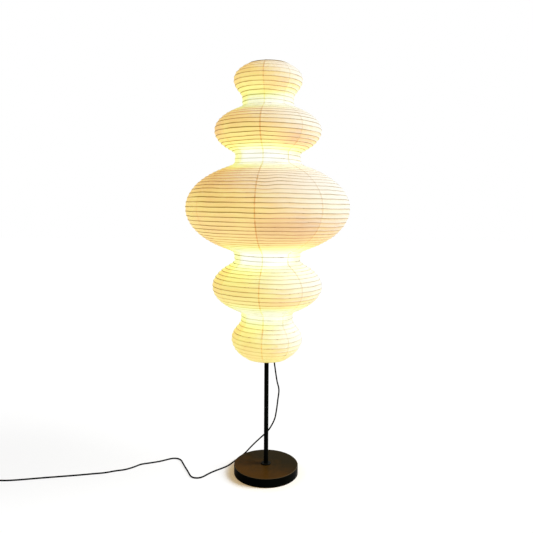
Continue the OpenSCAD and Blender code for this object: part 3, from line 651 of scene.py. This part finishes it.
def makeFoot():
    r, top, wall, roll, edge = foot["radius"], foot["top"], foot["wall"], foot["roll"], foot["edge"]
    quarter = math.pi / 2

    def rolled(bend, angle):
        return (r - roll + bend * math.cos(angle), top - roll + bend * math.sin(angle))

    outer = [rolled(roll, quarter * k / foot["rollSteps"]) for k in range(foot["rollSteps"] + 1)]
    inner = [rolled(roll - wall, quarter * (1 - k / foot["innerSteps"]))
             for k in range(foot["innerSteps"] + 1)]
    outline = [(r - edge, foot["skirt"]), (r, foot["skirt"] + edge)] + outer
    outline += [(ring, top) for ring in foot["rings"] + (foot["hole"],)]
    outline += [(foot["hole"], top - wall), (foot["underRing"], top - wall)] + inner
    outline.append((r - wall, foot["skirt"]))
    obj = lathe("footCover", [(a * mm, b * mm) for a, b in outline], foot["around"])
    sharpen(obj, 40)
    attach(obj, "stand")
    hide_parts("base_cover")
    return obj


footCover = makeFoot()
print("foot made")

# Bulbs: a frosted globe on a short neck, with heights from the plate that the lampholder stands on
bulb = {
    "globe": 22.5,
    "centre": 66,
    "neck": 12.6,
    "neckTop": 41,
    "capTop": 38,
    "capRadius": 12.9,
    "flare": 12,  # degrees past the neck where the globe begins
    "neckSteps": 8,
    "globeSteps": 24,
    "around": 48,
    "fromPole": 36,
    # Height of each globe's middle, its side of the pole, and whether it stands or hangs
    "lamps": [(625, -1, -1), (864, 1, 1), (1265, -1, -1), (1489, 1, 1)],
}


def bulbOutline():
    globe, centre, neck, low = bulb["globe"], bulb["centre"], bulb["neck"], bulb["neckTop"]
    join = math.asin(neck / globe) + math.radians(bulb["flare"])
    wide, high = globe * math.sin(join), centre - globe * math.cos(join)
    outline = [(0, bulb["capTop"]), (bulb["capRadius"], bulb["capTop"]), (neck, low)]
    for k in range(1, bulb["neckSteps"]):
        t = k / bulb["neckSteps"]
        outline.append((neck + (wide - neck) * float(smoothStep(0, 1, t)), low + (high - low) * t))
    for k in range(bulb["globeSteps"]):
        a = join + (math.pi - join) * k / bulb["globeSteps"]
        outline.append((globe * math.sin(a), centre - globe * math.cos(a)))
    return outline + [(0, centre + globe)]


def makeBulb(number):
    height, side, way = bulb["lamps"][number - 1]
    obj = lathe(f"bulbGlass{number}", [(r * mm, z * mm) for r, z in bulbOutline()], bulb["around"])
    plate = height - way * bulb["centre"]
    for v in obj.data.vertices:
        v.co = (v.co.x + side * bulb["fromPole"] * mm, v.co.y, plate * mm + way * v.co.z)
    if way < 0:
        obj.data.flip_normals()
    sharpen(obj, 50)
    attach(obj, f"bulb_{number}")
    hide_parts(f"bulb_glass_{number}")
    return obj


bulbs = [makeBulb(k + 1) for k in range(len(bulb["lamps"]))]
print("bulbs made")


# Materials
def linkNodes(tree, *pairs):
    for start, end in pairs:
        tree.links.new(start, end)


def newGroup(name, inputs, outputs):
    group = bpy.data.node_groups.new(name, "ShaderNodeTree")
    for label, kind, value in inputs:
        socket = group.interface.new_socket(label, in_out="INPUT", socket_type="NodeSocket" + kind)
        if value is not None:
            socket.default_value = value
    for label, kind in outputs:
        group.interface.new_socket(label, in_out="OUTPUT", socket_type="NodeSocket" + kind)
    return group, group.nodes.new("NodeGroupInput"), group.nodes.new("NodeGroupOutput")


def fillSocket(tree, socket, value):  # by a link or with a plain value
    if isinstance(value, bpy.types.NodeSocket):
        tree.links.new(value, socket)
    else:
        socket.default_value = value


def fillSockets(tree, node, values):
    for label, value in values.items():
        fillSocket(tree, node.inputs[label], value)


def addMath(tree, operation, *values):
    node = tree.nodes.new("ShaderNodeMath")
    node.operation = operation
    for socket, value in zip(node.inputs, values):
        fillSocket(tree, socket, value)
    return node.outputs[0]


def addRange(tree, value, fromLow, fromHigh, low, high, smooth=False):
    node = tree.nodes.new("ShaderNodeMapRange")
    node.interpolation_type = "SMOOTHSTEP" if smooth else "LINEAR"
    fillSockets(tree, node, {"Value": value, "From Min": fromLow, "From Max": fromHigh,
                             "To Min": low, "To Max": high})
    return node.outputs["Result"]


def addMix(tree, share, a, b, way="MIX"):  # mixes two colours
    node = tree.nodes.new("ShaderNodeMix")
    node.data_type = "RGBA"
    node.blend_type = way
    for label, value in (("Factor", share), ("A", a), ("B", b)):
        fillSocket(tree, next(s for s in node.inputs if s.name == label and s.enabled), value)
    return next(s for s in node.outputs if s.enabled)


def addNoise(tree, vector, scale, detail, rough):
    node = tree.nodes.new("ShaderNodeTexNoise")
    fillSockets(tree, node, {"Vector": vector, "Scale": scale, "Detail": detail, "Roughness": rough})
    return node.outputs["Fac"]


def addStretch(tree, scale):  # the object's own coordinates, scaled along each axis
    place = tree.nodes.new("ShaderNodeTexCoord")
    mapping = tree.nodes.new("ShaderNodeMapping")
    fillSockets(tree, mapping, {"Vector": place.outputs["Object"], "Scale": scale})
    return mapping.outputs["Vector"]


def addGrain(tree, stretch, detail, rough):  # noise as long and wide as its stretch says
    return addNoise(tree, addStretch(tree, stretch), 1.0, detail, rough)


def makeSurfaceGrain():  # uneven colour and gloss, with a fine height for a bump
    group, inside, out = newGroup(
        "surfaceGrain",
        [("Light", "Color", None), ("Dark", "Color", None), ("Size", "Float", 40.0),
         ("Fine size", "Float", 900.0), ("Stretch", "Vector", (1, 1, 1)),
         ("Low roughness", "Float", 0.3), ("High roughness", "Float", 0.5)],
        [("Colour", "Color"), ("Roughness", "Float"), ("Height", "Float")],
    )
    fineShare = 0.25
    vector = addStretch(group, inside.outputs["Stretch"])
    broad = addNoise(group, vector, inside.outputs["Size"], 5, 0.6)
    fine = addNoise(group, vector, inside.outputs["Fine size"], 3, 0.6)
    share = addRange(group, broad, 0.3, 0.7, 0, 1, smooth=True)
    mixed = addMath(group, "ADD", addMath(group, "MULTIPLY", share, 1 - fineShare),
                    addMath(group, "MULTIPLY", fine, fineShare))
    colour = addMix(group, mixed, inside.outputs["Dark"], inside.outputs["Light"])
    rough = addRange(group, mixed, 0, 1, inside.outputs["High roughness"], inside.outputs["Low roughness"])
    linkNodes(group, (colour, out.inputs["Colour"]), (rough, out.inputs["Roughness"]),
              (fine, out.inputs["Height"]))
    return group


def makeSettledDust():  # a mask of fine dust on whatever faces up
    group, inside, out = newGroup(
        "settledDust",
        [("Amount", "Float", 0.1), ("Size", "Float", 60.0), ("Least", "Float", 0.2)],
        [("Mask", "Float")],
    )
    geometry = group.nodes.new("ShaderNodeNewGeometry")
    split = group.nodes.new("ShaderNodeSeparateXYZ")
    group.links.new(geometry.outputs["Normal"], split.inputs[0])
    upward = addRange(group, split.outputs["Z"], 0.4, 1, 0, 1, smooth=True)
    broad = addNoise(group, geometry.outputs["Position"], inside.outputs["Size"], 6, 0.65)
    patches = addRange(group, broad, 0.35, 0.75, inside.outputs["Least"], 1, smooth=True)
    mask = addMath(group, "MULTIPLY", addMath(group, "MULTIPLY", upward, patches), inside.outputs["Amount"])
    group.links.new(mask, out.inputs["Mask"])
    return group


surfaceGrain = makeSurfaceGrain()
settledDust = makeSettledDust()
dustColour = (0.42, 0.38, 0.33)


def startMaterial(name):
    material = bpy.data.materials.new(name)
    material.use_nodes = True
    return material, material.node_tree, material.node_tree.nodes["Principled BSDF"]


def addBump(tree, shader, height, strength, distance):
    bump = tree.nodes.new("ShaderNodeBump")
    fillSockets(tree, bump, {"Height": height, "Strength": strength, "Distance": distance})
    tree.links.new(bump.outputs["Normal"], shader.inputs["Normal"])


def rgb(red, green, blue):
    return (red, green, blue, 1)


def grainMaterial(name, light, dark, size=40, fineSize=900, stretch=(1, 1, 1), roughness=(0.3, 0.5),
                  metallic=0, specular=0.5, bump=0.1, bumpDepth=0.0002, sheen=0, dust=0):
    material, tree, shader = startMaterial(name)
    grain = tree.nodes.new("ShaderNodeGroup")
    grain.node_tree = surfaceGrain
    fillSockets(tree, grain, {"Light": rgb(*light), "Dark": rgb(*dark), "Size": size, "Fine size": fineSize,
                              "Stretch": stretch, "Low roughness": roughness[0],
                              "High roughness": roughness[1]})
    colour = grain.outputs["Colour"]
    if dust:
        veil = tree.nodes.new("ShaderNodeGroup")
        veil.node_tree = settledDust
        veil.inputs["Amount"].default_value = dust
        colour = addMix(tree, veil.outputs["Mask"], colour, rgb(*dustColour))
    fillSockets(tree, shader, {"Base Color": colour, "Roughness": grain.outputs["Roughness"],
                               "Metallic": metallic, "Specular IOR Level": specular, "Sheen Weight": sheen})
    addBump(tree, shader, grain.outputs["Height"], bump, bumpDepth)
    return material


# Paper: its glow follows the bulbs, darker over the rib, at the glued strips and at the two rims
paper = {
    "colour": (0.68, 0.68, 0.64),
    "shade": (0.64, 0.63, 0.575),  # slightly darker patches of the sheet
    "overRib": (0.26, 0.18, 0.06),
    "overLap": (0.50, 0.43, 0.29),
    "ribGlow": 0.80,  # share of the light that passes where the rib lies behind, and its tint
    "ribTint": (0.26, 0.31, 0.17),
    "ribCore": 0.05,  # half width of the rib's shadow, and of its soft edge, in turns
    "ribEdge": 0.145,
    "ribBright": (1.7, 3.2, 0.75),  # the rib shows less where the glow is strong: from, to and share left
    "ribChange": (0.6, 1.2),  # least and most shadow along the rib
    "lapGlow": 0.70,  # share that passes through two layers
    "rimGlow": 0.04,
    "rimWidth": (0.006, 0.010),  # metres from the rim, where the dark edge starts to fade and ends
    "fibres": 0.07,
    "noiseSpan": (0.2, 0.8),  # values of a noise that count as least and most
    # Stretch, detail and roughness of each noise
    "ribNoise": ((6, 6, 26), 2, 0.5),
    "threads": ((60, 60, 420), 5, 0.65),
    "clouds": ((14, 14, 30), 3, 0.5),
    "fineNoise": ((260, 260, 900), 4, 0.6),
    "lapEdge": (0.75, 0.95),
    "roughness": (0.62, 0.85),
    "bump": (0.25, 0.0004),
    # Colour and strength of the glow, from dim to bright
    "rampTop": 4.2,
    "ramp": [
        (0.0, (0.0, 0.0, 0.0)), (0.4, (0.36, 0.13, 0.010)), (0.7, (0.59, 0.265, 0.022)),
        (1.0, (0.735, 0.435, 0.050)), (1.22, (0.75, 0.555, 0.060)), (1.5, (0.74, 0.680, 0.115)),
        (1.69, (0.72, 0.725, 0.17)), (2.67, (0.69, 0.695, 0.35)), (4.2, (0.68, 0.690, 0.69)),
    ],
}


def readValue(tree, name):
    node = tree.nodes.new("ShaderNodeAttribute")
    node.attribute_name = name
    return node.outputs["Fac"]


def makeRamp(tree, value):  # the paper's own light for a strength of the glow
    ramp = tree.nodes.new("ShaderNodeValToRGB")
    stops = ramp.color_ramp.elements
    while len(stops) < len(paper["ramp"]):
        stops.new(0.5)
    for stop, (level, colour) in zip(stops, paper["ramp"]):
        stop.position = level / paper["rampTop"]
        stop.color = rgb(*colour)
    tree.links.new(addMath(tree, "DIVIDE", value, paper["rampTop"]), ramp.inputs["Fac"])
    return ramp.outputs["Color"]


def addRibShadow(tree, light):  # 1 over the middle of the rib, where it shows fully
    phase = addMath(tree, "FRACT", readValue(tree, "ribTurn"))
    fromRib = addMath(tree, "MINIMUM", phase, addMath(tree, "SUBTRACT", 1.0, phase))
    clear = addRange(tree, fromRib, paper["ribCore"], paper["ribEdge"], 0, 1, smooth=True)
    change = addRange(tree, addGrain(tree, *paper["ribNoise"]), 0.3, 0.7, *paper["ribChange"])
    low, high, left = paper["ribBright"]
    shown = addMath(tree, "MULTIPLY", change, addRange(tree, light, low, high, 1, left, smooth=True))
    shown = addMath(tree, "MULTIPLY", shown, readValue(tree, "ribShown"))
    return addMath(tree, "MULTIPLY", addMath(tree, "SUBTRACT", 1.0, clear), shown)


def makePaperMaterial():
    material, tree, shader = startMaterial("paper")
    light = readValue(tree, "glow")
    shadow = addRibShadow(tree, light)
    lap = addRange(tree, readValue(tree, "layers"), *paper["lapEdge"], 0, 1)
    lap = addMath(tree, "MULTIPLY", lap, readValue(tree, "lapShown"))
    rimClear = addRange(tree, readValue(tree, "rimDistance"), *paper["rimWidth"], 0, 1, smooth=True)
    threads = addGrain(tree, *paper["threads"])
    clouds = addGrain(tree, *paper["clouds"])
    fibres = paper["fibres"]
    span = paper["noiseSpan"]
    mottle = addMath(tree, "ADD", addRange(tree, threads, *span, 1 - fibres, 1 + fibres),
                     addRange(tree, clouds, *span, -fibres, fibres))
    ribShare = addRange(tree, shadow, 0, 1, 1, paper["ribGlow"])
    lapShare = addRange(tree, lap, 0, 1, 1, paper["lapGlow"])
    rimShare = addRange(tree, rimClear, 0, 1, paper["rimGlow"], 1)
    for share in (ribShare, lapShare, rimShare, mottle):
        light = addMath(tree, "MULTIPLY", light, share)
    lit = makeRamp(tree, light)
    tinted = addMix(tree, shadow, lit, addMix(tree, 1.0, lit, rgb(*paper["ribTint"]), "MULTIPLY"))
    shine = addMix(tree, readValue(tree, "dayShare"), rgb(0, 0, 0), tinted)
    sheet = addMix(tree, clouds, rgb(*paper["shade"]), rgb(*paper["colour"]))
    sheet = addMix(tree, lap, sheet, rgb(*paper["overLap"]))
    solid = addMath(tree, "MULTIPLY", addMath(tree, "SUBTRACT", 1.0, shadow), rimClear)
    fillSockets(tree, shader, {"Base Color": addMix(tree, solid, rgb(*paper["overRib"]), sheet),
                               "Roughness": addRange(tree, threads, *span, *paper["roughness"]),
                               "Specular IOR Level": 0.25, "Emission Color": shine, "Emission Strength": 1})
    fine = addGrain(tree, *paper["fineNoise"])
    addBump(tree, shader, addMath(tree, "ADD", threads, fine), *paper["bump"])
    return material


litGlass = {
    "haze": ((120, 120, 120), 3, 0.5),
    "hazeRange": (0.3, 0.7),
    "glow": ((1.0, 0.80, 0.50), (1.0, 0.86, 0.60)),
    "colour": ((0.82, 0.78, 0.70), (0.88, 0.85, 0.78)),
    "roughness": (0.22, 0.32),
    "strength": 4,
}


def makeBulbMaterial():  # frosted glass, lit from within, with a faint haze
    material, tree, shader = startMaterial("litOpalGlass")
    haze = addGrain(tree, *litGlass["haze"])
    dim, bright = [rgb(*colour) for colour in litGlass["glow"]]
    dark, pale = [rgb(*colour) for colour in litGlass["colour"]]
    glowing = addMix(tree, addRange(tree, haze, *litGlass["hazeRange"], 0, 1), dim, bright)
    rough = addRange(tree, haze, *litGlass["hazeRange"], *litGlass["roughness"])
    fillSockets(tree, shader, {"Base Color": addMix(tree, haze, dark, pale), "Roughness": rough,
                               "Emission Color": glowing, "Emission Strength": litGlass["strength"]})
    return material


footPaintAndPaintedReflection = {
    "side": ((0.0022, 0.0026, 0.0016), (0.0012, 0.0014, 0.0009)),
    "near": (0.078, 0.034, 0.0050),  # painted reflection of the lantern's glow on the top, lighter towards the front and left
    "far": (0.024, 0.0165, 0.0050),
    "direction": (0.5, 0.85),
    "across": (-0.10, 0.06),  # metres that way, from near to far
    "blotch": (26.0, 6, 0.62),
    "blotchShift": 0.04,
    "mark": 0.17,  # depth of the uneven patches
    "markNoise": (150.0, 5, 0.7),
    "edge": (0.120, 0.090, 0.050),  # painted highlight along the rolled rim of the disc, a reflection of the lantern's glow
    "rimHighlightRadius": (0.1245, 0.1268),  # metres
    "rimHighlightShare": 0.7,
    "upward": (0.55, 0.9),
}


def makeFootMaterial():  # black paint, with a painted brown reflection of the lantern's glow on top that fades to the back and right, and a painted highlight along its rim
    material = grainMaterial("footPaintAndPaintedReflection", *footPaintAndPaintedReflection["side"], 26, 1600, roughness=(0.26, 0.40),
                             specular=0.006, bump=0.12, bumpDepth=0.0001)
    tree = material.node_tree
    shader = tree.nodes["Principled BSDF"]
    side = shader.inputs["Base Color"].links[0].from_socket
    geometry = tree.nodes.new("ShaderNodeNewGeometry")
    position = geometry.outputs["Position"]
    facing, place = [tree.nodes.new("ShaderNodeSeparateXYZ") for _ in range(2)]
    linkNodes(tree, (geometry.outputs["Normal"], facing.inputs[0]), (position, place.inputs[0]))
    x, y = place.outputs["X"], place.outputs["Y"]
    alongX, alongY = footPaintAndPaintedReflection["direction"]
    across = addMath(tree, "ADD", addMath(tree, "MULTIPLY", x, alongX), addMath(tree, "MULTIPLY", y, alongY))
    shift = footPaintAndPaintedReflection["blotchShift"]
    blotch = addRange(tree, addNoise(tree, position, *footPaintAndPaintedReflection["blotch"]), 0.25, 0.75, -shift, shift)
    across = addMath(tree, "ADD", across, blotch)
    # painted reflection of the lantern's glow, brown on the top and fading to the back and right
    paintedReflection = addMix(tree, addRange(tree, across, *footPaintAndPaintedReflection["across"], 0, 1, smooth=True),
                   rgb(*footPaintAndPaintedReflection["near"]), rgb(*footPaintAndPaintedReflection["far"]))
    mark = addRange(tree, addNoise(tree, position, *footPaintAndPaintedReflection["markNoise"]), 0.3, 0.7, 0, footPaintAndPaintedReflection["mark"])
    paintedReflection = addMix(tree, mark, paintedReflection, rgb(0, 0, 0))
    radius = addMath(tree, "SQRT", addMath(tree, "ADD", addMath(tree, "MULTIPLY", x, x),
                                           addMath(tree, "MULTIPLY", y, y)))
    # painted highlight round the rolled rim
    paintedRimHighlight = addRange(tree, radius, *footPaintAndPaintedReflection["rimHighlightRadius"], 0, footPaintAndPaintedReflection["rimHighlightShare"], smooth=True)
    paintedReflection = addMix(tree, paintedRimHighlight, paintedReflection, rgb(*footPaintAndPaintedReflection["edge"]))
    upward = addRange(tree, facing.outputs["Z"], *footPaintAndPaintedReflection["upward"], 0, 1, smooth=True)
    tree.links.new(addMix(tree, upward, side, paintedReflection), shader.inputs["Base Color"])
    return material


materials = {
    "paper": makePaperMaterial(),
    "opalGlass": makeBulbMaterial(),
    "bamboo": grainMaterial("splitBamboo", (0.42, 0.27, 0.12), (0.24, 0.13, 0.05), 90, 700, (1, 1, 3),
                            (0.45, 0.65), bump=0.3),
    "satinBlack": grainMaterial("satinBlackPaint", (0.0030, 0.0034, 0.0024), (0.0016, 0.0018, 0.0012),
                                26, 1600, roughness=(0.30, 0.42), specular=0.01, bump=0.12,
                                bumpDepth=0.0001, dust=0.02),
    "footPaintAndPaintedReflection": makeFootMaterial(),
    "castIron": grainMaterial("castIron", (0.10, 0.10, 0.105), (0.045, 0.045, 0.05), 60, 500,
                              roughness=(0.55, 0.8), metallic=0.6, bump=0.6, bumpDepth=0.0006),
    "felt": grainMaterial("feltPad", (0.060, 0.056, 0.052), (0.025, 0.023, 0.021), 300, 2500,
                          roughness=(0.9, 1.0), specular=0.1, bump=0.8, bumpDepth=0.0005, sheen=0.4),
    "platedSteel": grainMaterial("platedSteel", (0.62, 0.63, 0.64), (0.48, 0.49, 0.50), 50, 1400, (1, 1, 4),
                                 (0.22, 0.36), metallic=1, bump=0.08),
    "brass": grainMaterial("brass", (0.74, 0.52, 0.22), (0.55, 0.36, 0.13), 80, 1400,
                           roughness=(0.22, 0.38), metallic=1, bump=0.08),
    "capMetal": grainMaterial("capAluminium", (0.70, 0.70, 0.69), (0.52, 0.52, 0.52), 120, 1500,
                              roughness=(0.28, 0.42), metallic=1, bump=0.1),
    "blackPlastic": grainMaterial("mouldedPlastic", (0.012, 0.012, 0.012), (0.007, 0.007, 0.007), 60, 2600,
                                  roughness=(0.32, 0.46), specular=0.25, bump=0.25, bumpDepth=0.0001,
                                  dust=0.02),
    "blackCord": grainMaterial("cordSheath", (0.0045, 0.0045, 0.0045), (0.0025, 0.0025, 0.0025), 40, 1800,
                               roughness=(0.40, 0.55), specular=0, bump=0.2, bumpDepth=0.0001),
}


def dress(obj, name):
    if len(obj.material_slots) == 0:
        obj.data.materials.append(materials[name])
    for slot in obj.material_slots:
        slot.material = materials[name]


pieceMaterials = {  # record slot: finish
    "satin_black": "satinBlack", "cast_iron": "castIron", "felt": "felt", "plated_steel": "platedSteel",
    "brass": "brass", "paper": "paper", "bamboo": "bamboo", "black_plastic": "blackPlastic",
    "black_cord": "blackCord", "cap_aluminium": "capMetal", "opal_glass": "opalGlass",
}
for obj in panels:
    dress(obj, "paper")
dress(spiralRib, "bamboo")
dress(footCover, "footPaintAndPaintedReflection")
dress(mainsCord, "blackCord")
dress(innerLeads, "blackCord")
for obj in bulbs:
    dress(obj, "opalGlass")
nodeSlots = {part["node"]: part["material_slot"] for part in frame["record"]["subparts"]}
for name, obj in frame["nodes"].items():
    dress(obj, pieceMaterials[nodeSlots[name]])
print("materials made")

# Studio: a pale floor under plain soft light, and the lamp's own glow
studio = {
    "around": 0.18,  # light from all sides, before the key
    "key": 4.1,
    "keyAngle": 35,  # degrees across, for soft shadows
    "floorColour": (0.55, 0.55, 0.55),
    # As the camera and reflections see it: colour and what is added, near the foot and farther away. Near
    # the foot the added colour is painted warm light from the lantern, which shows in the foot's shadow, and
    # the bluish colour there keeps the lit floor white
    "nearSeen": (0.80, 0.90, 1.0),
    "nearPaintedWarmLight": (0.36, 0.23, 0.085),
    "farSeen": (0.25, 0.25, 0.25),
    "farAdded": (0.81, 0.81, 0.81),
    "nearRadius": (0.138, 0.185),  # metres, from near to far
    "floorSize": 30,
}


def cameraAndMirrorRays(tree):  # one for rays that see the background, in the open, in metal and in glass
    path = tree.nodes.new("ShaderNodeLightPath")
    seen = addMath(tree, "MAXIMUM", path.outputs["Is Camera Ray"], path.outputs["Is Glossy Ray"])
    return addMath(tree, "MAXIMUM", seen, path.outputs["Is Transmission Ray"])


def makeWorld():
    world = bpy.data.worlds.new("studio")
    bpy.context.scene.world = world
    world.use_nodes = True
    tree = world.node_tree
    background = tree.nodes["Background"]
    background.inputs["Color"].default_value = rgb(1, 1, 1)
    strength = addRange(tree, cameraAndMirrorRays(tree), 0, 1, studio["around"], 1)
    tree.links.new(strength, background.inputs["Strength"])


def makeFloor():
    half = studio["floorSize"] / 2
    floor = makeMesh("floor", [(-half, -half, 0), (half, -half, 0), (half, half, 0), (-half, half, 0)],
                     [(0, 1, 2, 3)], smooth=False)
    material, tree, shader = startMaterial("floor")
    seen = cameraAndMirrorRays(tree)
    place = tree.nodes.new("ShaderNodeTexCoord")
    fromFoot = tree.nodes.new("ShaderNodeVectorMath")
    fromFoot.operation = "LENGTH"
    tree.links.new(place.outputs["Object"], fromFoot.inputs[0])
    far = addRange(tree, fromFoot.outputs["Value"], *studio["nearRadius"], 0, 1, smooth=True)
    bare = addMix(tree, far, rgb(*studio["nearSeen"]), rgb(*studio["farSeen"]))
    colour = addMix(tree, seen, rgb(*studio["floorColour"]), bare)
    # near the foot, painted warm light of the lantern in the foot's shadow; farther away, plain white
    whiteAndPaintedGlow = addMix(tree, far, rgb(*studio["nearPaintedWarmLight"]), rgb(*studio["farAdded"]))
    added = addMix(tree, seen, rgb(0, 0, 0), whiteAndPaintedGlow)
    fillSockets(tree, shader, {"Base Color": colour, "Roughness": 0.9, "Specular IOR Level": 0,
                               "Emission Color": added, "Emission Strength": 1})
    floor.data.materials.append(material)


def makeKey():
    data = bpy.data.lights.new("key", "SUN")
    data.energy = studio["key"]
    data.angle = math.radians(studio["keyAngle"])
    obj = bpy.data.objects.new("key", data)
    obj.location = daylight["place"]
    obj.rotation_euler = (-Vector(daylight["place"])).to_track_quat("-Z", "Y").to_euler()
    bpy.context.scene.collection.objects.link(obj)


makeWorld()
makeFloor()
makeKey()
bpy.context.scene.view_settings.view_transform = "Standard"
print("studio made")
